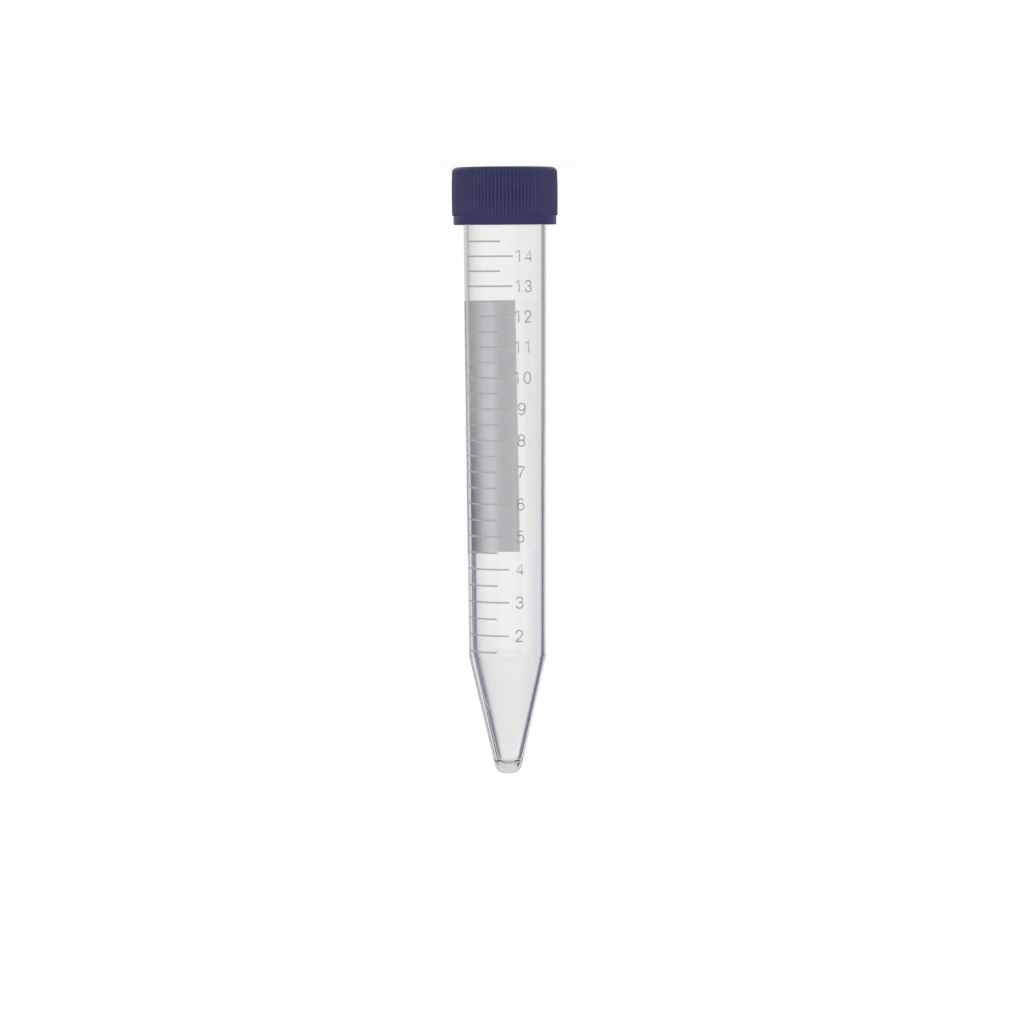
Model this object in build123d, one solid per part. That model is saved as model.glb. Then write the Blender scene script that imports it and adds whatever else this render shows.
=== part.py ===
from build123d import *
from math import atan, cos, radians, tan
import os

# A 15 ml conical tube with its screw cap, in millimetres.
# Both pieces are modelled upright about Z, with the tip at the origin and the scale's side facing -Y.
# The last step turns them over: the closed tube can't stand on its tip, so it stands on its cap.
# The origin is then the middle of the cap's top, and -Y is still the side of the scale.

# ---- tube ----
tube_length = 119.85  # tip to the lip of the mouth
cone_height = 23.5  # tip to the circle where the cone meets the body
tip_radius = 2.33  # where the side of the cone would meet the plane of the tip
body_radius = 7.70  # outside, where the body meets the cone
draft = 0.35  # degrees a side, wider towards the mouth
wall = 0.85  # body wall
cone_wall = 0.88  # cone wall, square to its surface
floor_thickness = 2.05  # at the tip
tip_round = 1.9  # outside corner of the tip
floor_round = 1.5  # inside corner of the floor
lip_bevel = 0.25  # both edges of the mouth
neck_show = 0.4  # straight neck that shows below the foot of the cap

# ---- cap ----
cap_height = 11.4
cap_top = 1.2  # thickness of the flat top
edge_round = 1.1  # rounded edge of the top
thread_room = 1.03  # radial space between the neck and the skirt, where the thread runs
skirt_wall = 0.97  # at the smooth band, and at the floor of the grooves between the ribs
skirt_lead = 0.4  # bevel inside the foot of the skirt
foot_bevel = 0.25  # outside edge of the skirt's foot
band_height = 1.8
rib_count = 88
rib_height = 0.3  # above the smooth band
rib_cover = 0.25  # plain ring between the ends of the grooves and the rounded edge
groove_width = 0.26  # at the bottom of the groove
groove_flare = 20.0  # degrees, each side of the groove
plug_height = 3.4  # ring that plugs the mouth
plug_wall = 0.9
plug_clearance = 0.1  # radial gap between the plug and the bore
plug_lead = 0.5  # bevel on the foot of the plug
gate_radius = 1.1  # shallow dimple left by the moulding gate
gate_depth = 0.3

# ---- heights and slopes that follow ----
closed_length = tube_length + cap_top
cap_foot = closed_length - cap_height
neck_foot = cap_foot - neck_show
plug_foot = tube_length - plug_height
draft_slope = tan(radians(draft))
cone_slope = (body_radius - tip_radius) / cone_height


def body_outside(z):
    return body_radius + (z - cone_height) * draft_slope


def bore(z):
    return body_outside(z) - wall


def cone_outside(z):
    return body_radius - (cone_height - z) * cone_slope


def cone_bore(z):
    return cone_outside(z) - cone_wall / cos(atan(cone_slope))


def cone_bore_top():
    """Height at which the inside of the cone meets the bore of the body."""
    gap = bore(cone_height) - cone_bore(cone_height)
    return cone_height + gap / (cone_slope - draft_slope)


# ---- radii that follow ----
neck_radius = body_outside(neck_foot)
skirt_bore = neck_radius + thread_room
skirt_radius = skirt_bore + skirt_wall
rib_radius = skirt_radius + rib_height
plug_radius = bore(plug_foot) - plug_clearance


def half_section(outline):
    """A flat face in the XZ plane, from (r, z) points."""
    return make_face(Polyline([(r, 0, z) for r, z in outline], close=True))


def corners(section, *places):
    """The corners of a half section that lie at the given (r, z) places."""
    spots = [Vector(r, 0, z) for r, z in places]
    return [v for v in section.vertices() if any((Vector(v) - spot).length < 1e-4 for spot in spots)]


def make_tube():
    """A drafted body on a cone, with a blunt rounded tip and a straight neck, all of one thin wall."""
    inner_top = cone_bore_top()
    tip = (tip_radius, 0)
    floor_edge = (cone_bore(floor_thickness), floor_thickness)
    lip_outside = (neck_radius, tube_length)
    lip_inside = (bore(tube_length), tube_length)
    section = half_section(
        [
            (0, 0),
            tip,
            (body_radius, cone_height),
            (neck_radius, neck_foot),
            lip_outside,
            lip_inside,
            (bore(inner_top), inner_top),
            floor_edge,
            (0, floor_thickness),
        ]
    )
    section = fillet(corners(section, tip), tip_round)
    section = fillet(corners(section, floor_edge), floor_round)
    lip_width = neck_radius - bore(tube_length)
    section = chamfer(corners(section, lip_outside, lip_inside), min(lip_bevel, 0.4 * lip_width))
    return revolve(section, Axis.Z)


def make_groove(foot, top):
    """The space between two ribs: an upright slot that is wider at its mouth."""
    depth = 2 * rib_height  # well past the crests
    mouth = skirt_radius + depth
    half = groove_width / 2
    wide = half + depth * tan(radians(groove_flare))
    slot = [(skirt_radius, -half), (mouth, -wide), (mouth, wide), (skirt_radius, half)]
    return Pos(0, 0, foot) * extrude(make_face(Polyline(slot, close=True)), top - foot)


def make_cap():
    """A ribbed skirt under a flat top, with a ring inside that plugs the mouth."""
    rib_foot = cap_foot + band_height
    rib_top = closed_length - edge_round - rib_cover
    plug_inside = plug_radius - plug_wall
    top_edge = (rib_radius, closed_length)
    foot_edge = (skirt_radius, cap_foot)
    section = half_section(
        [
            (0, closed_length),
            (0, tube_length),
            (plug_inside, tube_length),
            (plug_inside, plug_foot),
            (plug_radius - plug_lead, plug_foot),
            (plug_radius, plug_foot + plug_lead),
            (plug_radius, tube_length),
            (skirt_bore, tube_length),
            (skirt_bore, cap_foot + skirt_lead),
            (skirt_bore + skirt_lead, cap_foot),
            foot_edge,
            (skirt_radius, rib_foot),
            (rib_radius, rib_foot),
            top_edge,
        ]
    )
    section = fillet(corners(section, top_edge), edge_round)
    section = chamfer(corners(section, foot_edge), foot_bevel)
    grooves = PolarLocations(0, rib_count, start_angle=90) * make_groove(rib_foot, rib_top)
    gate = Pos(0, 0, closed_length) * Cylinder(gate_radius, 2 * gate_depth)
    return revolve(section, Axis.Z) - grooves - gate


os.makedirs("parts", exist_ok=True)
for name, piece in {"tube": make_tube(), "cap": make_cap()}.items():
    standing = Pos(0, 0, closed_length) * Rot(0, 180, 0) * piece
    export_step(standing, f"parts/{name}.step")
    print(name, len(standing.solids()), "solid", round(standing.volume, 1), "mm3")
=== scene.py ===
import bpy
import bmesh
import math
from mathutils import Matrix, Vector


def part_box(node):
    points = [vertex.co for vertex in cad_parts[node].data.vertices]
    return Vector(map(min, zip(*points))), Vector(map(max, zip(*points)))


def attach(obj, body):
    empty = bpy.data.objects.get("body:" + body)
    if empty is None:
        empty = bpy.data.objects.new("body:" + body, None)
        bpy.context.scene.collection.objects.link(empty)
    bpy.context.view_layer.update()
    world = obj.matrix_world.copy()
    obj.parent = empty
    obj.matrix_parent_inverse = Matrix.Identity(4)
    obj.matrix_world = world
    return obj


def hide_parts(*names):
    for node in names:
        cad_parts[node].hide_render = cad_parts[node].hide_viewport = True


# A 15 ml conical tube and its ribbed screw cap, with the printed scale and the writing patch.
# Every piece is modelled upright, tip at the origin and scale towards -Y,
# and turned over onto the cap at the end.

mm = 0.001
ml = 1e-6
fullTurn = 2 * math.pi
tiny = 0.01 * mm  # closer than this is the same place

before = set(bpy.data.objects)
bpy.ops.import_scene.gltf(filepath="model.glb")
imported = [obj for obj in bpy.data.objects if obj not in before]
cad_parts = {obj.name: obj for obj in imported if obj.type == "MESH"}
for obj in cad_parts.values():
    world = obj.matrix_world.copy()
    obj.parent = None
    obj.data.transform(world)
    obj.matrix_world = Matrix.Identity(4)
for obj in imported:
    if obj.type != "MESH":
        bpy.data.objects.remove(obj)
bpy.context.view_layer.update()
_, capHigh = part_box("cap")
tubeLow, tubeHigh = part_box("tube")
closedLength = tubeHigh.z
print("frame loaded, closed length", round(closedLength / mm, 2), "mm")


def deselectAll():
    if bpy.context.mode != "OBJECT":
        bpy.ops.object.mode_set(mode="OBJECT")
    bpy.ops.object.select_all(action="DESELECT")


def makeActive(piece):
    deselectAll()
    piece.select_set(True)
    bpy.context.view_layer.objects.active = piece


def openMesh(piece):
    # edit mode with every vertex selected
    makeActive(piece)
    bpy.ops.object.mode_set(mode="EDIT")
    bpy.ops.mesh.select_mode(type="VERT")
    bpy.ops.mesh.select_all(action="SELECT")


def closeMesh():
    bpy.ops.object.mode_set(mode="OBJECT")


def applyModifier(piece, kind, **settings):
    makeActive(piece)
    modifier = piece.modifiers.new("step", kind)
    for key, value in settings.items():
        setattr(modifier, key, value)
    bpy.ops.object.modifier_apply(modifier=modifier.name)


def startOutline(name, radius, height):
    # a new piece that is a single vertex, at a radius and a height
    deselectAll()
    bpy.ops.mesh.primitive_plane_add(size=mm, location=(radius, 0, height))
    piece = bpy.context.object
    piece.name = name
    bpy.ops.object.transform_apply(location=True)
    bpy.ops.object.mode_set(mode="EDIT")
    bpy.ops.mesh.merge(type="CENTER")
    return piece


def drawOutline(piece, start, points):
    # goes on from the selected vertex, one extrusion to each (radius, height)
    here = start
    for radius, height in points:
        step = (radius - here[0], 0, height - here[1])
        bpy.ops.mesh.extrude_region_move(TRANSFORM_OT_translate={"value": step})
        here = (radius, height)
    closeMesh()


def heldRun(start, end, startHold, endHold):
    # a long straight run with a ring close to each end, so that the rounds there do not tilt its shading
    run = Vector((end[0] - start[0], end[1] - start[1]))
    along = run.normalized()
    first, last = along * startHold, run - along * endHold
    return [(start[0] + first.x, start[1] + first.y), (start[0] + last.x, start[1] + last.y), end]


def roundCorner(piece, corner, radius, segments):
    # bevels one outline corner to a circular round
    spot = Vector((corner[0], 0, corner[1]))
    openMesh(piece)
    bpy.ops.mesh.select_all(action="DESELECT")
    bm = bmesh.from_edit_mesh(piece.data)
    vertex = [vertex for vertex in bm.verts if (vertex.co - spot).length < tiny][0]
    vertex.select_set(True)
    bm.select_flush_mode()
    bmesh.update_edit_mesh(piece.data)
    arms = [(edge.other_vert(vertex).co - vertex.co).normalized() for edge in vertex.link_edges]
    offset = radius / math.tan(arms[0].angle(arms[1]) / 2)
    bpy.ops.mesh.bevel(affect="VERTICES", offset=offset, offset_type="OFFSET", segments=segments)
    closeMesh()


def recalculate(piece):
    # all faces point outwards
    openMesh(piece)
    bpy.ops.mesh.normals_make_consistent(inside=False)
    closeMesh()


def spinOutline(piece, steps):
    openMesh(piece)
    bpy.ops.mesh.spin(steps=steps, angle=fullTurn, center=(0, 0, 0), axis=(0, 0, 1))
    bpy.ops.mesh.select_all(action="SELECT")
    bpy.ops.mesh.remove_doubles(threshold=0.2 * tiny)
    closeMesh()
    recalculate(piece)


def reshape(piece, move):
    # moves every vertex by a rule, which gets its number and its place
    bm = bmesh.new()
    bm.from_mesh(piece.data)
    for index, vertex in enumerate(bm.verts):
        move(index, vertex.co)
    bm.to_mesh(piece.data)
    bm.free()


def towardsAxis(place, factor):
    place.x *= factor
    place.y *= factor


def smooth(piece, degrees):
    makeActive(piece)
    bpy.ops.object.shade_smooth_by_angle(angle=math.radians(degrees))


def joinAll(pieces, name):
    deselectAll()
    for piece in pieces:
        piece.select_set(True)
    bpy.context.view_layer.objects.active = pieces[0]
    bpy.ops.object.join()
    pieces[0].name = name
    return pieces[0]


def standOnCap(piece):
    # the last step of every piece: over it goes, onto the flat top of the cap
    openMesh(piece)
    bpy.ops.transform.rotate(value=math.pi, orient_axis="Y", center_override=(0, 0, 0))
    bpy.ops.transform.translate(value=(0, 0, closedLength))
    closeMesh()


tube = {
    "steps": 192,  # round the axis
    "coneHeight": 23.5 * mm,
    "tipRadius": 2.33 * mm,
    "bodyRadius": 7.70 * mm,
    "draft": math.radians(0.35),
    "wall": 0.85 * mm,
    "coneWall": 0.88 * mm,
    "floor": 2.05 * mm,
    "tipRound": 1.9 * mm,
    "floorRound": 1.5 * mm,
    "shoulderRound": 2.0 * mm,  # where the body runs into the cone
    "lipRound": 0.25 * mm,
    "hold": 0.8 * mm,  # from the end of a long wall to its ring, see heldRun
    "neckShow": 0.4 * mm,  # how far the plain neck shows below the cap
    "shadingAngle": 40,
}
lipHeight = closedLength - tubeLow.z
capFoot = closedLength - capHigh.z
coneSlope = (tube["bodyRadius"] - tube["tipRadius"]) / tube["coneHeight"]


def bodyRadius(height):
    return tube["bodyRadius"] + (height - tube["coneHeight"]) * math.tan(tube["draft"])


def boreRadius(height):
    return bodyRadius(height) - tube["wall"]


def coneRadius(height):
    return tube["bodyRadius"] - (tube["coneHeight"] - height) * coneSlope


def coneBore(height):
    return coneRadius(height) - tube["coneWall"] / math.cos(math.atan(coneSlope))


def innerShoulderHeight():
    # where the bore's draft meets the inside of the cone
    gap = boreRadius(tube["coneHeight"]) - coneBore(tube["coneHeight"])
    return tube["coneHeight"] + gap / (coneSlope - math.tan(tube["draft"]))


thread = {
    "pitch": 3.0 * mm,
    "turns": 1.75,
    "stepsPerTurn": 64,
    "rootWidth": 1.3 * mm,
    "crestWidth": 0.5 * mm,
    "height": 0.72 * mm,
    "crestRound": 0.12 * mm,
    "buried": 0.2 * mm,  # how deep its root goes into the wall
    "fade": 0.09,  # share of its length over which each end sinks into the wall
    "start": 2.6 * mm,  # first turn above the foot of the cap
}


def makeThread(name, wallRadius, start, outward):
    # a ridge wound up the wall, outward on the neck and inward in the cap
    root = wallRadius - outward * thread["buried"]
    crest = wallRadius + outward * thread["height"]
    halfRoot, halfCrest = thread["rootWidth"] / 2, thread["crestWidth"] / 2
    corners = [(crest, start - halfCrest), (crest, start + halfCrest)]
    piece = startOutline(name, root, start - halfRoot)
    drawOutline(piece, (root, start - halfRoot), [*corners, (root, start + halfRoot)])
    openMesh(piece)
    bpy.ops.mesh.edge_face_add()
    bpy.ops.mesh.delete(type="ONLY_FACE")
    closeMesh()
    for corner in corners:
        roundCorner(piece, corner, thread["crestRound"], segments=2)
    steps = round(thread["turns"] * thread["stepsPerTurn"])
    applyModifier(
        piece, "SCREW", angle=fullTurn * thread["turns"], screw_offset=thread["pitch"] * thread["turns"],
        steps=steps, render_steps=steps, use_merge_vertices=False,
    )
    column = len(piece.data.vertices) // (steps + 1)

    def sinkEnds(index, place):
        along = (index // column) / steps
        rise = min(1, along / thread["fade"], (1 - along) / thread["fade"])
        if rise < 1:
            radius = math.hypot(place.x, place.y)
            towardsAxis(place, (root + (radius - root) * math.sin(max(rise, 0) * math.pi / 2)) / radius)

    reshape(piece, sinkEnds)
    openMesh(piece)
    bpy.ops.mesh.fill_holes(sides=0)
    closeMesh()
    recalculate(piece)
    return piece


def weldOn(piece, addition, thorough):
    # joins the addition to the piece as one skin
    applyModifier(piece, "BOOLEAN", operation="UNION", solver="EXACT", object=addition, use_self=thorough)
    makeActive(addition)
    bpy.ops.object.delete()


mouldMarks = {
    # degrees round, mm above the tip
    "places": [(-50, 15.9), (-46, 15.4), (-49, 14.9), (-46, 14.3), (-43, 13.7), (62, 11.1)],
    "radius": 0.35 * mm,
    "depth": 0.25 * mm,  # of a pip's centre below the surface
    # rings of the cone's mesh beside them, mm above the tip
    "rings": [10.4, 11.0, 11.6, 13.0, 13.6, 14.2, 14.8, 15.4, 16.0, 16.6],
}


def makeMouldMarks():
    # low round pips on the cone
    pips = []
    for degrees, height in mouldMarks["places"]:
        radius, turn = coneRadius(height * mm) - mouldMarks["depth"], math.radians(degrees)
        place = (radius * math.sin(turn), -radius * math.cos(turn), height * mm)
        deselectAll()
        bpy.ops.mesh.primitive_ico_sphere_add(subdivisions=3, radius=mouldMarks["radius"], location=place)
        bpy.ops.object.transform_apply()
        pips.append(bpy.context.object)
    return joinAll(pips, "mouldMarks")


def makeTube():
    neckFoot = capFoot - tube["neckShow"]
    neckRadius = bodyRadius(neckFoot)
    innerTop = innerShoulderHeight()
    tip = (tube["tipRadius"], 0)
    shoulder = (tube["bodyRadius"], tube["coneHeight"])
    lipOutside = (neckRadius, lipHeight)
    lipInside = (boreRadius(lipHeight), lipHeight)
    innerShoulder = (boreRadius(innerTop), innerTop)
    floorEdge = (coneBore(tube["floor"]), tube["floor"])
    neck = (neckRadius, neckFoot)
    hold = tube["hold"]
    coneStart, *coneEnd = heldRun(tip, shoulder, tube["tipRound"] + hold, hold)
    piece = startOutline("tubeShell", 0, 0)
    drawOutline(piece, (0, 0), [
        tip,
        coneStart,
        *[(coneRadius(height * mm), height * mm) for height in mouldMarks["rings"]],
        *coneEnd,
        *heldRun(shoulder, neck, hold, hold),
        *heldRun(neck, lipOutside, hold, hold),
        lipInside,
        *heldRun(lipInside, innerShoulder, hold, hold),
        *heldRun(innerShoulder, floorEdge, hold, tube["floorRound"] + hold),
        (0, tube["floor"]),
    ])
    roundCorner(piece, tip, tube["tipRound"], segments=10)
    roundCorner(piece, floorEdge, tube["floorRound"], segments=6)
    roundCorner(piece, shoulder, tube["shoulderRound"], segments=3)
    roundCorner(piece, innerShoulder, tube["shoulderRound"], segments=3)
    roundCorner(piece, lipOutside, tube["lipRound"], segments=3)
    roundCorner(piece, lipInside, tube["lipRound"], segments=3)
    spinOutline(piece, tube["steps"])
    neckThread = makeThread("neckThread", neckRadius, capFoot + thread["start"], 1)
    weldOn(piece, joinAll([neckThread, makeMouldMarks()], "additions"), True)
    smooth(piece, tube["shadingAngle"])
    return piece


cap = {
    "ribs": 88,
    "stepsPerRib": 8,
    "edgeRound": 1.1 * mm,
    "skirtWall": 0.97 * mm,
    "threadRoom": 1.03 * mm,  # between the neck and the skirt
    "skirtLead": 0.4 * mm,
    "footRound": 0.25 * mm,
    "shadingAngle": 50,
    "band": 1.8 * mm,
    "ribHeight": 0.3 * mm,
    "ribCrown": 0.06 * mm,  # the middle of a rib stands this much proud of its ends
    "crownRows": 10,
    "crownCover": 0.25 * mm,  # the crown ends this far short of the rounded edge, where the grooves run out
    "ribFootRound": 0.08 * mm,
    "grooveShares": (1.0, 0.85, 0.2, 0.0, 0.0, 0.0, 0.2, 0.85),  # depth at each step of a rib's pitch
    "plugHeight": 3.4 * mm,
    "plugWall": 0.9 * mm,
    "plugClearance": 0.1 * mm,
    "plugLead": 0.5 * mm,
    "gateRadius": 1.1 * mm,
    "gateDepth": 0.3 * mm,
    "gateRound": 0.12 * mm,
}


def makeCap():
    neckRadius = bodyRadius(capFoot - tube["neckShow"])
    skirtBore = neckRadius + cap["threadRoom"]
    skirtRadius = skirtBore + cap["skirtWall"]
    ribRadius = skirtRadius + cap["ribHeight"]
    ribEnd = ribRadius - cap["ribCrown"]
    ribFoot = capFoot + cap["band"]
    crownTop = closedLength - cap["edgeRound"] - cap["crownCover"]
    plugFoot = lipHeight - cap["plugHeight"]
    plugRadius = boreRadius(plugFoot) - cap["plugClearance"]
    plugInside = plugRadius - cap["plugWall"]
    gateFloor = closedLength - cap["gateDepth"]
    topEdge = (ribEnd, closedLength)
    footEdge = (skirtRadius, capFoot)
    gateEdge = (cap["gateRadius"], closedLength)
    ribFootEdge = (ribEnd, ribFoot)
    crown = []
    for row in range(1, cap["crownRows"]):
        share = row / cap["crownRows"]
        height = crownTop + share * (ribFoot - crownTop)
        crown.append((ribEnd + cap["ribCrown"] * 4 * share * (1 - share), height))
    piece = startOutline("screwCap", 0, gateFloor)
    drawOutline(piece, (0, gateFloor), [
        (cap["gateRadius"], gateFloor),
        gateEdge,
        topEdge,
        (ribEnd, crownTop),
        *crown,
        ribFootEdge,
        (skirtRadius, ribFoot),
        footEdge,
        (skirtBore + cap["skirtLead"], capFoot),
        (skirtBore, capFoot + cap["skirtLead"]),
        (skirtBore, lipHeight),
        (plugRadius, lipHeight),
        (plugRadius, plugFoot + cap["plugLead"]),
        (plugRadius - cap["plugLead"], plugFoot),
        (plugInside, plugFoot),
        (plugInside, lipHeight),
        (0, lipHeight),
    ])
    roundCorner(piece, topEdge, cap["edgeRound"], segments=8)
    roundCorner(piece, footEdge, cap["footRound"], segments=4)
    roundCorner(piece, gateEdge, cap["gateRound"], segments=2)
    roundCorner(piece, ribFootEdge, cap["ribFootRound"], segments=2)
    spinOutline(piece, cap["ribs"] * cap["stepsPerRib"])
    pressGrooves(piece, ribFoot, skirtRadius)
    halfWayBetween = capFoot + thread["start"] - thread["pitch"] / 2  # the turns of the neck's thread
    weldOn(piece, makeThread("capThread", skirtBore, halfWayBetween, -1), False)
    smooth(piece, cap["shadingAngle"])
    return piece


def pressGrooves(piece, ribFoot, floorRadius):
    # the columns of vertices between the ribs go in, to the floor of the groove
    pitch = fullTurn / cap["ribs"]

    def press(index, place):
        radius = math.hypot(place.x, place.y)
        if place.z > ribFoot - tiny and radius > floorRadius + tiny:
            turn = math.atan2(place.x, -place.y) % pitch / pitch
            share = cap["grooveShares"][round(turn * cap["stepsPerRib"]) % cap["stepsPerRib"]]
            towardsAxis(place, 1 - share * (radius - floorRadius) / radius)

    reshape(piece, press)


# The print: marks every half millilitre, a number at every whole one, and the patch on the far side.
# It is drawn flat in the XZ plane, then bent round the tube.
scale = {
    "firstMark": 1.5,  # ml
    "lastMark": 14.5,
    "markStep": 0.5,
    "numbers": (2, 14),  # first and last
    "middle": 8,  # ml, the height at which the places below hold
    "reading": (0.9943, 0.134),  # the marks stand for this share of their volume, plus this many ml
    "lineWeight": 0.32 * mm,
    "longMark": (-68.5, 6.3),  # its ends, degrees from the scale's middle
    "shortMark": (-68.5, -11.2),
    "markCuts": 36,
    "numberPlace": 22.0,  # degrees from the scale's middle
    "digitHeight": 2.2 * mm,
    "digitWidth": 0.65,  # of its height
    "digitPitch": 2.3 * mm,
    "strokeWeight": 0.27 * mm,
    "twist": 0.118,  # degrees for each mm of height, because the print rolled on a little skew
    "lift": 0.012 * mm,  # of the ink's back above the wall
    "thickness": 0.02 * mm,
}
inkBase = bodyRadius(0)  # the body's radius, carried on down to the tip
inkSlope = math.tan(tube["draft"]) / inkBase
inkMiddle = -(scale["lift"] + scale["thickness"] / 2)  # of the ink's thickness, in the flat drawing


def markHeight(volume):
    # where the surface of a volume, in ml, stands inside the drafted bore
    volume = volume * scale["reading"][0] + scale["reading"][1]
    low, foot = innerShoulderHeight(), tube["floor"]
    wide, narrow = boreRadius(low), coneBore(foot)
    coneVolume = math.pi * (low - foot) * (wide * wide + wide * narrow + narrow * narrow) / 3
    grow = math.tan(tube["draft"])
    radius = (wide ** 3 + 3 * grow * (volume * ml - coneVolume) / math.pi) ** (1 / 3)
    return low + (radius - wide) / grow


def flatPlace(degrees, height):
    # where a point at an angle round the tube lies in the flat drawing, twist included
    turned = degrees + scale["twist"] * (height - markHeight(scale["middle"])) / mm
    return math.radians(turned) * inkBase


def shiftMesh(piece, value):
    openMesh(piece)
    bpy.ops.transform.translate(value=value)
    closeMesh()


def bendOntoTube(piece):
    # bends the flat drawing round the axis and opens it with the draft
    xs = [vertex.co.x for vertex in piece.data.vertices]
    zs = [vertex.co.z for vertex in piece.data.vertices]
    turn, opening = (max(xs) - min(xs)) / inkBase, (max(zs) - min(zs)) * inkSlope
    applyModifier(piece, "SIMPLE_DEFORM", deform_method="BEND", deform_axis="Z", angle=turn)
    shiftMesh(piece, (0, -inkBase, 0))
    applyModifier(piece, "SIMPLE_DEFORM", deform_method="TAPER", deform_axis="Z", factor=opening)


def cutAcross(piece, axis, start, end, parts):
    # even cuts through a flat piece, so that it can bend
    for cut in range(1, parts):
        openMesh(piece)
        place, along = Vector(), Vector()
        place[axis], along[axis] = start + (end - start) * cut / parts, 1
        bpy.ops.mesh.bisect(plane_co=place, plane_no=along)
        closeMesh()


def stripe(left, right, height, weight, parts):
    # one flat mark, from left to right
    deselectAll()
    middle = (left + right) / 2
    size = (right - left, scale["thickness"], weight)
    bpy.ops.mesh.primitive_cube_add(size=1, location=(middle, inkMiddle, height), scale=size)
    piece = bpy.context.object
    bpy.ops.object.transform_apply()
    cutAcross(piece, 0, left, right, parts)
    return piece


def copyOf(piece):
    makeActive(piece)
    bpy.ops.object.duplicate()
    return bpy.context.object


def makeMarks():
    samples = {}
    for kind in ("longMark", "shortMark"):
        left, right = (math.radians(end) * inkBase for end in scale[kind])
        samples[kind] = stripe(left, right, 0, scale["lineWeight"], scale["markCuts"])
    marks = []
    steps = round((scale["lastMark"] - scale["firstMark"]) / scale["markStep"])
    for step in range(steps + 1):
        volume = scale["firstMark"] + scale["markStep"] * step
        kind = "longMark" if volume == int(volume) else "shortMark"
        mark = copyOf(samples[kind])
        height = markHeight(volume)
        shiftMesh(mark, (flatPlace(0, height), 0, height))
        marks.append(mark)
    deselectAll()
    for sample in samples.values():
        sample.select_set(True)
    bpy.ops.object.delete()
    piece = joinAll(marks, "scaleMarks")
    bendOntoTube(piece)
    return piece


# strokes of the digits in a box one high and one wide, (across, up); a round stroke passes through its points
digits = {
    "0": [
        ("loop", [
            (0.5, 1), (0.92, 0.8), (1, 0.5), (0.92, 0.2), (0.5, 0), (0.08, 0.2), (0, 0.5), (0.08, 0.8),
        ]),
    ],
    "1": [("sharp", [(0.26, 0.84), (0.7, 1), (0.7, 0)])],
    "2": [
        ("round", [
            (0.03, 0.72), (0.2, 0.94), (0.5, 1), (0.83, 0.92), (0.95, 0.72), (0.8, 0.48), (0.4, 0.25),
            (0.03, 0),
        ]),
        ("sharp", [(0.03, 0), (1, 0)]),
    ],
    "3": [
        ("round", [
            (0.06, 0.78), (0.22, 0.95), (0.5, 1), (0.8, 0.93), (0.9, 0.76), (0.78, 0.58), (0.42, 0.52),
        ]),
        ("round", [
            (0.42, 0.52), (0.82, 0.46), (0.97, 0.27), (0.82, 0.06), (0.5, 0), (0.17, 0.05), (0.02, 0.24),
        ]),
    ],
    "4": [("sharp", [(0.78, 0), (0.78, 1), (0, 0.27), (1, 0.27)])],
    "5": [
        ("sharp", [(0.9, 1), (0.2, 1), (0.1, 0.5)]),
        ("round", [
            (0.1, 0.5), (0.27, 0.61), (0.52, 0.65), (0.86, 0.55), (0.98, 0.33), (0.85, 0.08), (0.48, 0),
            (0.15, 0.05), (0.02, 0.22),
        ]),
    ],
    "6": [
        ("loop", [
            (0.5, 0.62), (0.85, 0.52), (0.98, 0.31), (0.85, 0.09), (0.5, 0), (0.14, 0.09), (0.02, 0.31),
            (0.15, 0.52),
        ]),
        ("round", [(0.9, 0.83), (0.76, 0.96), (0.52, 1), (0.2, 0.88), (0.04, 0.6), (0.02, 0.31)]),
    ],
    "7": [("sharp", [(0, 1), (1, 1)]), ("round", [(1, 1), (0.66, 0.62), (0.42, 0.3), (0.33, 0)])],
    "8": [
        ("loop", [
            (0.5, 1), (0.82, 0.93), (0.91, 0.76), (0.8, 0.59), (0.5, 0.53), (0.2, 0.59), (0.09, 0.76),
            (0.18, 0.93),
        ]),
        ("loop", [
            (0.5, 0.53), (0.85, 0.46), (0.98, 0.27), (0.85, 0.07), (0.5, 0), (0.15, 0.07), (0.02, 0.27),
            (0.15, 0.46),
        ]),
    ],
    "9": [
        ("loop", [
            (0.5, 1), (0.86, 0.91), (0.98, 0.69), (0.86, 0.48), (0.5, 0.38), (0.15, 0.48), (0.02, 0.69),
            (0.15, 0.91),
        ]),
        ("round", [(0.98, 0.69), (0.96, 0.4), (0.8, 0.12), (0.48, 0), (0.24, 0.04), (0.1, 0.17)]),
    ],
}


def drawNumber(text, place, height):
    # one number as a flat curve, centred on its place
    curve = bpy.data.curves.new("number" + text, "CURVE")
    curve.dimensions = "3D"
    curve.resolution_u = 6
    curve.bevel_depth = scale["strokeWeight"] / 2
    curve.bevel_resolution = 1
    curve.use_fill_caps = True
    tall = scale["digitHeight"]
    narrow = inkBase / bodyRadius(height)
    wide = tall * scale["digitWidth"]
    for column, digit in enumerate(text):
        centre = (column - (len(text) - 1) / 2) * scale["digitPitch"]
        for kind, points in digits[digit]:
            spline = curve.splines.new("BEZIER")
            spline.bezier_points.add(len(points) - 1)
            spline.use_cyclic_u = kind == "loop"
            for knot, (across, up) in zip(spline.bezier_points, points):
                x = place + (centre + (across - 0.5) * wide) * narrow
                knot.co = (x, 0, height + (up - 0.5) * tall)
                knot.handle_left_type = knot.handle_right_type = "VECTOR" if kind == "sharp" else "AUTO"
    number = bpy.data.objects.new("number" + text, curve)
    bpy.context.scene.collection.objects.link(number)
    makeActive(number)
    bpy.ops.object.convert(target="MESH")
    return bpy.context.object


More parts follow.
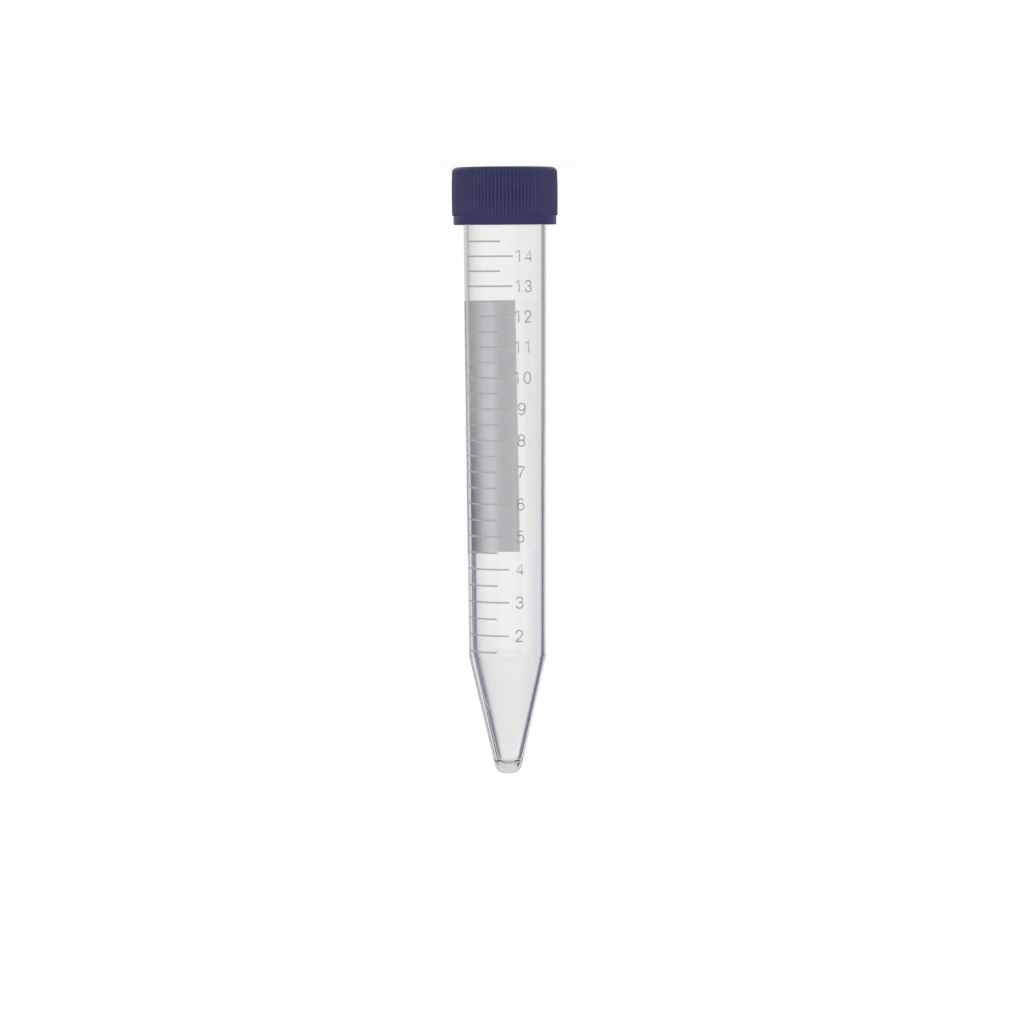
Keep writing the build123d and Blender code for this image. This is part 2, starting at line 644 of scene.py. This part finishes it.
def makeNumbers():
    numbers = []
    first, last = scale["numbers"]
    for volume in range(first, last + 1):
        height = markHeight(volume)
        numbers.append(drawNumber(str(volume), flatPlace(scale["numberPlace"], height), height))
    piece = joinAll(numbers, "scaleNumbers")
    openMesh(piece)
    squeeze = scale["thickness"] / scale["strokeWeight"]
    bpy.ops.transform.resize(value=(1, squeeze, 1), center_override=(0, 0, 0))
    bpy.ops.transform.translate(value=(0, inkMiddle, 0))
    closeMesh()
    recalculate(piece)
    bendOntoTube(piece)
    return piece


patch = {
    "top": 12.5,  # ml, level with this mark
    "bottom": 4.36,
    "edges": (161.6, 271.0),  # degrees from the scale's middle
    "columns": 48,
    "rows": 8,
    "outward": 0.5,  # faces that turn outwards less than this belong to the back
}


def makePatch():
    top, bottom = markHeight(patch["top"]), markHeight(patch["bottom"])
    left, right = (math.radians(edge) * inkBase for edge in patch["edges"])
    middle = (left + right) / 2
    piece = stripe(left - middle, right - middle, (top + bottom) / 2, top - bottom, patch["columns"])
    piece.name = "writingPatch"
    cutAcross(piece, 2, bottom, top, patch["rows"])

    def skew(index, place):
        place.x += flatPlace(0, place.z)

    reshape(piece, skew)
    bendOntoTube(piece)
    openMesh(piece)
    bpy.ops.transform.rotate(value=-middle / inkBase, orient_axis="Z", center_override=(0, 0, 0))
    closeMesh()
    return piece


def paintBack(piece, material):
    # the faces of the patch that lie against the tube, and its edges, get their own finish, with painted
    # shade and a painted lighter stripe
    piece.data.materials.append(material)
    for face in piece.data.polygons:
        outward = Vector((face.center.x, face.center.y, 0)).normalized()
        if face.normal.dot(outward) < patch["outward"]:
            face.material_index = 1


tubeShell = makeTube()
print("tube", len(tubeShell.data.polygons), "faces")
screwCap = makeCap()
print("cap", len(screwCap.data.polygons), "faces")
scaleMarks = makeMarks()
print("marks", len(scaleMarks.data.polygons), "faces")
scaleNumbers = makeNumbers()
print("numbers", len(scaleNumbers.data.polygons), "faces")
writingPatch = makePatch()
print("patch", len(writingPatch.data.polygons), "faces")
for piece in (tubeShell, screwCap, scaleMarks, scaleNumbers, writingPatch):
    standOnCap(piece)


def makeGrain():
    # moulded or printed unevenness, shared by every finish:
    # a slow drift and a fine grain, both mostly within the grain's range below
    group = bpy.data.node_groups.new("surfaceGrain", "ShaderNodeTree")
    for name in ("Drift Scale", "Grain Scale"):
        group.interface.new_socket(name=name, in_out="INPUT", socket_type="NodeSocketFloat")
    for name in ("Drift", "Grain"):
        group.interface.new_socket(name=name, in_out="OUTPUT", socket_type="NodeSocketFloat")
    inside, outside = group.nodes.new("NodeGroupInput"), group.nodes.new("NodeGroupOutput")
    place = group.nodes.new("ShaderNodeTexCoord")
    for name, detail in (("Drift", 3.0), ("Grain", 2.0)):
        noise = group.nodes.new("ShaderNodeTexNoise")
        noise.inputs["Detail"].default_value = detail
        group.links.new(place.outputs["Object"], noise.inputs["Vector"])
        group.links.new(inside.outputs[name + " Scale"], noise.inputs["Scale"])
        group.links.new(noise.outputs["Fac"], outside.inputs[name])
    return group


grain = makeGrain()
grainRange = (0.3, 0.7)


def newMaterial(name, **sockets):
    material = bpy.data.materials.new(name)
    material.use_nodes = True
    shader = material.node_tree.nodes["Principled BSDF"]
    for key, value in sockets.items():
        shader.inputs[key].default_value = value
    return material, material.node_tree, shader


def addGrain(tree, driftScale, grainScale):
    node = tree.nodes.new("ShaderNodeGroup")
    node.node_tree = grain
    node.inputs["Drift Scale"].default_value = driftScale
    node.inputs["Grain Scale"].default_value = grainScale
    return node.outputs["Drift"], node.outputs["Grain"]


def spread(tree, value, low, high, inputs=grainRange):
    # takes a value from the range of its inputs to a range of its own
    node = tree.nodes.new("ShaderNodeMapRange")
    for key, number in zip(("From Min", "From Max", "To Min", "To Max"), (*inputs, low, high)):
        node.inputs[key].default_value = number
    tree.links.new(value, node.inputs["Value"])
    return node.outputs[0]


def blendColours(tree, share, first, second):
    node = tree.nodes.new("ShaderNodeMix")
    node.data_type = "RGBA"
    for index, colour in ((6, first), (7, second)):
        if isinstance(colour, tuple):
            node.inputs[index].default_value = (*colour, 1)
        else:
            tree.links.new(colour, node.inputs[index])
    tree.links.new(share, node.inputs[0])
    return node.outputs[2]


def addBump(tree, shader, height, strength, distance):
    bump = tree.nodes.new("ShaderNodeBump")
    bump.inputs["Strength"].default_value = strength
    bump.inputs["Distance"].default_value = distance
    tree.links.new(height, bump.inputs["Height"])
    tree.links.new(bump.outputs[0], shader.inputs["Normal"])


def dress(tree, shader, colour, fine, look):
    # a colour, with a fine grain in its gloss and its surface
    tree.links.new(colour, shader.inputs["Base Color"])
    tree.links.new(spread(tree, fine, *look["roughness"]), shader.inputs["Roughness"])
    addBump(tree, shader, fine, *look["bump"])


def whereAround(tree, coordinates):
    # the angle of a place round the upright axis, from +Y towards +X, and its height
    place = tree.nodes.new("ShaderNodeTexCoord")
    split = tree.nodes.new("ShaderNodeSeparateXYZ")
    turn = tree.nodes.new("ShaderNodeMath")
    turn.operation = "ARCTAN2"
    tree.links.new(place.outputs[coordinates], split.inputs[0])
    tree.links.new(split.outputs["X"], turn.inputs[0])
    tree.links.new(split.outputs["Y"], turn.inputs[1])
    return turn.outputs[0], split.outputs["Z"]


def toneRamp(tree, turn, tones, tint):
    # colours round the axis, from (degrees, tone) and the tint that a tone gets
    start, end = tones[0][0], tones[-1][0]
    ramp = tree.nodes.new("ShaderNodeValToRGB")
    stops = ramp.color_ramp.elements
    stops.remove(stops[1])
    for degrees, tone in tones[1:]:
        stops.new((degrees - start) / (end - start))
    for stop, (degrees, tone) in zip(stops, tones):
        stop.color = (*tint(tone), 1)
    share = spread(tree, turn, 0, 1, (math.radians(start), math.radians(end)))
    tree.links.new(share, ramp.inputs["Fac"])
    return ramp.outputs["Color"]


# each finish: the scales of its grain, what its drift blends, its range of roughness,
# and the strength and height of its bump
clearLook = {
    "grain": (150, 1800),
    "tones": ((1.0, 1.0, 1.0), (0.985, 0.985, 0.99)),
    "roughness": (0.02, 0.06),
    "bump": (0.03, 0.02 * mm),
    "haze": (0.8, 0.8, 0.8, 1),
    "density": 400,
}


def clearPlastic():
    # clear polypropylene, its gloss a little uneven from the mould, so it follows the drift
    material, tree, shader = newMaterial("clearPlastic", **{"IOR": 1.49, "Transmission Weight": 1.0})
    drift, _ = addGrain(tree, *clearLook["grain"])
    colour = blendColours(tree, spread(tree, drift, 0, 1), *clearLook["tones"])
    dress(tree, shader, colour, drift, clearLook)
    absorb = tree.nodes.new("ShaderNodeVolumeAbsorption")
    absorb.inputs["Color"].default_value = clearLook["haze"]
    absorb.inputs["Density"].default_value = clearLook["density"]
    tree.links.new(absorb.outputs[0], tree.nodes["Material Output"].inputs["Volume"])
    return material


capLook = {
    "grain": (220, 5200),
    "tones": ((0.039, 0.0407, 0.132), (0.045, 0.0465, 0.148)),
    # the band's tone is painted shade, darker than the ribs
    "bandPaintedShade": (0.030, 0.0315, 0.128),
    "bandBlend": (-0.2 * mm, 0.1 * mm),  # heights beside the band's edge, over which the painted shade sets in
    "roughness": (0.36, 0.48),
    "bump": (0.35, 0.02 * mm),
}


def capPlastic():
    # dark navy polyethylene with a satin grain, slightly mottled; the band at its foot is painted a shade
    # darker, painted shade for the darker look of its smooth surface
    material, tree, shader = newMaterial("capPlastic", **{"IOR": 1.5, "Specular IOR Level": 0.3})
    drift, fine = addGrain(tree, *capLook["grain"])
    _, height = whereAround(tree, "Object")
    bandEdge = capHigh.z - cap["band"]
    band = spread(tree, height, 0, 1, [bandEdge + reach for reach in capLook["bandBlend"]])
    ribbed = blendColours(tree, spread(tree, drift, 0, 1), *capLook["tones"])
    dress(tree, shader, blendColours(tree, band, ribbed, capLook["bandPaintedShade"]), fine, capLook)
    return material


inkLooks = {
    "scaleInk": {  # grey, thin in places
        "grain": (900, 9000),
        "tones": ((0.49, 0.483, 0.475), (0.56, 0.553, 0.545)),
        "roughness": (0.5, 0.7),
        "bump": (0.3, 0.01 * mm),
    },
    "numberInk": {  # the same ink, printed heavier
        "grain": (900, 9000),
        "tones": ((0.385, 0.38, 0.375), (0.45, 0.445, 0.44)),
        "roughness": (0.5, 0.7),
        "bump": (0.3, 0.01 * mm),
    },
    "patchInk": {  # matt white to write on, with a fine tooth
        "grain": (260, 6000),
        "tones": ((0.83, 0.82, 0.84), (0.87, 0.86, 0.88)),
        "roughness": (0.55, 0.75),
        "bump": (0.4, 0.015 * mm),
    },
}


def printedInk(name):
    look = inkLooks[name]
    material, tree, shader = newMaterial(name)
    drift, fine = addGrain(tree, *look["grain"])
    dress(tree, shader, blendColours(tree, spread(tree, drift, 0, 1), *look["tones"]), fine, look)
    return material


patchBackPaintedLight = {
    # round the tube, (degrees from the far side towards +X, tone): painted light and shade, a painted lighter
    # stripe peaking at 27 where light through the front wall falls on the patch, darker towards 92
    "around": [
        (-14, 0.90), (-8, 0.80), (-2, 0.77), (4, 0.74), (9, 0.755), (12, 0.80), (15, 0.87), (18, 0.97),
        (21, 1.0), (27, 1.03), (34, 0.97), (41, 0.90), (45, 0.84), (50, 0.76), (54, 0.72), (60, 0.65),
        (65, 0.55), (92, 0.48),
    ],
    "tint": (1.0, 0.968, 1.01),
    "thinTone": (0.72, 0.70, 0.74),
    "thinShare": 0.25,
}


def patchBack():
    # the patch's ink seen through the wall, painted darker and lilac-grey as shade, with a painted lighter
    # stripe round the tube
    look = inkLooks["patchInk"]
    material, tree, shader = newMaterial("patchBack")
    drift, fine = addGrain(tree, *look["grain"])
    turn, _ = whereAround(tree, "Object")
    tint = patchBackPaintedLight["tint"]
    paintedLightAndShade = toneRamp(tree, turn, patchBackPaintedLight["around"], lambda tone: [tone * part for part in tint])
    thin = spread(tree, drift, 0, patchBackPaintedLight["thinShare"])
    dress(tree, shader, blendColours(tree, thin, paintedLightAndShade, patchBackPaintedLight["thinTone"]), fine, look)
    return material


for piece, material in (
    (tubeShell, clearPlastic()),
    (screwCap, capPlastic()),
    (scaleMarks, printedInk("scaleInk")),
    (scaleNumbers, printedInk("numberInk")),
    (writingPatch, printedInk("patchInk")),
):
    piece.data.materials.clear()
    piece.data.materials.append(material)
# the back faces take the painted shade and the painted lighter stripe
paintBack(writingPatch, patchBack())

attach(tubeShell, "tube")
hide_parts("tube")
for piece in (scaleMarks, scaleNumbers, writingPatch):
    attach(piece, "tube")
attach(screwCap, "cap")
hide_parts("cap")


view = {
    "focal": 133.6,
    "distance": 757 * mm,
    "height": 15.9 * mm,  # above the floor
    "pitch": math.radians(3.982),  # up, so that the tube sits in the middle of the picture
    "roll": math.radians(179.63),
    "aside": -1.04 * mm,
    "clip": (0.05, 20),
}


def makeCamera():
    data = bpy.data.cameras.new("camera")
    data.lens = view["focal"]
    data.clip_start, data.clip_end = view["clip"]
    camera = bpy.data.objects.new("camera", data)
    bpy.context.scene.collection.objects.link(camera)
    camera.location = (view["aside"], -view["distance"], view["height"])
    turn = Matrix.Rotation(math.pi / 2 + view["pitch"], 3, "X") @ Matrix.Rotation(view["roll"], 3, "Z")
    camera.rotation_euler = turn.to_euler()
    bpy.context.scene.camera = camera


studio = {
    # what the plastic sees round it, ring over ring: (degrees from straight behind, towards +X; tone)
    "below": [
        (-180, 1.0), (-150, 0.9), (-66, 0.9), (-60, 0.05), (-42, 0.05), (-34, 1.0), (27, 1.0), (32, 0.05),
        (58, 0.05), (64, 0.9), (150, 0.9), (180, 1.0),
    ],
    "low": [
        (-180, 1.1), (-154, 1.1), (-146, 0.65), (-112, 0.78), (-92, 0.88), (-66, 0.97), (-56, 0.86),
        (-50, 0.68), (-44, 0.33), (-34, 0.43), (-27, 0.40), (-20, 0.90), (-16, 1.0), (-12, 0.94),
        (-6, 0.98), (0, 1.0), (4, 1.02), (10, 0.88), (15, 0.90), (20, 0.65), (28, 0.88), (34, 0.71),
        (42, 0.43), (48, 0.50), (56, 0.78), (66, 1.0), (90, 0.87), (102, 0.9), (112, 1.25), (144, 1.25),
        (152, 1.1), (180, 1.1),
    ],
    "middle": [
        (-180, 1.1), (-156, 1.1), (-150, 0.60), (-127, 1.0), (-98, 0.27), (-84, 0.29), (-70, 0.22),
        (-38, 0.22), (-34, 0.28), (-30, 0.50), (-24, 0.82), (-16, 1.25), (-12, 1.06), (-2, 1.0),
        (8, 1.03), (11, 1.08), (14, 0.40), (17, 0.20), (20, 0.22), (26, 0.85), (32, 1.25), (37, 1.0),
        (41, 0.2), (44, 0.0), (78, 0.02), (92, 0.40), (106, 0.80), (114, 1.1), (146, 1.1), (156, 1.1),
        (180, 1.1),
    ],
    "high": [
        (-180, 1.1), (-156, 1.1), (-150, 0.60), (-127, 1.0), (-98, 0.30), (-84, 0.27), (-60, 0.25),
        (-40, 0.18), (-34, 0.14), (-29, 0.25), (-22, 0.87), (-16, 1.18), (-10, 1.0), (-4, 0.92),
        (4, 0.92), (8, 0.86), (11, 0.58), (14, 0.28), (22, 0.25), (26, 0.55), (30, 0.95), (34, 1.2),
        (41, 1.1), (45, 0.3), (49, 0.05), (72, 0.03), (92, 0.40), (106, 0.75), (146, 0.75), (156, 1.1),
        (180, 1.1),
    ],
    "higher": [
        (-180, 0.90), (-127, 1.0), (-98, 0.40), (-60, 0.30), (-40, 0.15), (-30, 0.25), (-22, 0.93),
        (6, 0.90), (12, 0.45), (24, 0.45), (30, 1.1), (42, 1.1), (48, 0.15), (92, 0.15), (110, 0.75),
        (180, 0.90),
    ],
    "above": [(-180, 0.9), (-60, 0.9), (-35, 0.5), (35, 0.5), (60, 0.9), (180, 0.9)],
    # each ring takes over from the one before it between two rises of the line of sight
    "changes": {
        "low": (-0.03, -0.01),
        "middle": (0.040, 0.072),
        "high": (0.100, 0.118),
        "higher": (0.226, 0.252),
        "above": (0.60, 0.78),
    },
    "blue": 0.12,  # added to the blue of the darkest parts
    "blueBelow": 0.6,  # of tones darker than this
    "strength": 0.99,
}


def studioTint(tone):
    return tone, tone, tone + studio["blue"] * max(0, 1 - tone / studio["blueBelow"])


def makeWorld():
    world = bpy.data.worlds.new("studio")
    bpy.context.scene.world = world
    world.use_nodes = True
    tree = world.node_tree
    background = tree.nodes["Background"]
    turn, rise = whereAround(tree, "Generated")
    surroundings = toneRamp(tree, turn, studio["below"], studioTint)
    for level, change in studio["changes"].items():
        ring = toneRamp(tree, turn, studio[level], studioTint)
        surroundings = blendColours(tree, spread(tree, rise, 0, 1, change), surroundings, ring)
    seen = tree.nodes.new("ShaderNodeLightPath").outputs["Is Camera Ray"]
    tree.links.new(blendColours(tree, seen, surroundings, (1.0, 1.0, 1.0)), background.inputs["Color"])
    background.inputs["Strength"].default_value = studio["strength"]


floorLook = {
    "radius": 0.6,
    "corners": 64,
    "grain": (12, 400),
    "tones": ((0.94, 0.94, 0.94), (0.96, 0.96, 0.96)),
    "roughness": 0.7,
    "bump": (0.1, 0.05 * mm),
    "glow": 1.0,
    "glowShare": 0.94,  # of what the camera, gloss and glass see; the rest is shaded paint, with the shadow
}


def makeFloor():
    deselectAll()
    bpy.ops.mesh.primitive_circle_add(
        vertices=floorLook["corners"], radius=floorLook["radius"], fill_type="NGON", location=(0, 0, 0),
    )
    floor = bpy.context.object
    floor.name = "floor"
    material, tree, shader = newMaterial("floorPaint", **{"Roughness": floorLook["roughness"]})
    drift, fine = addGrain(tree, *floorLook["grain"])
    colour = blendColours(tree, spread(tree, drift, 0, 1), *floorLook["tones"])
    tree.links.new(colour, shader.inputs["Base Color"])
    addBump(tree, shader, fine, *floorLook["bump"])
    glow = tree.nodes.new("ShaderNodeEmission")
    glow.inputs["Strength"].default_value = floorLook["glow"]
    path = tree.nodes.new("ShaderNodeLightPath")
    direct = path.outputs["Is Camera Ray"]
    for ray in ("Is Glossy Ray", "Is Transmission Ray"):
        either = tree.nodes.new("ShaderNodeMath")
        either.operation = "MAXIMUM"
        tree.links.new(direct, either.inputs[0])
        tree.links.new(path.outputs[ray], either.inputs[1])
        direct = either.outputs[0]
    seen = tree.nodes.new("ShaderNodeMath")
    seen.operation = "MULTIPLY"
    seen.inputs[1].default_value = floorLook["glowShare"]
    mix = tree.nodes.new("ShaderNodeMixShader")
    tree.links.new(direct, seen.inputs[0])
    tree.links.new(seen.outputs[0], mix.inputs["Fac"])
    tree.links.new(shader.outputs[0], mix.inputs[1])
    tree.links.new(glow.outputs[0], mix.inputs[2])
    tree.links.new(mix.outputs[0], tree.nodes["Material Output"].inputs["Surface"])
    floor.data.materials.append(material)


makeCamera()
makeWorld()
makeFloor()
bpy.context.scene.view_settings.view_transform = "Standard"
# the walls stay clear to the light that reaches the patch through them
bpy.context.scene.cycles.blur_glossy = 0
print("camera, light and floor made")
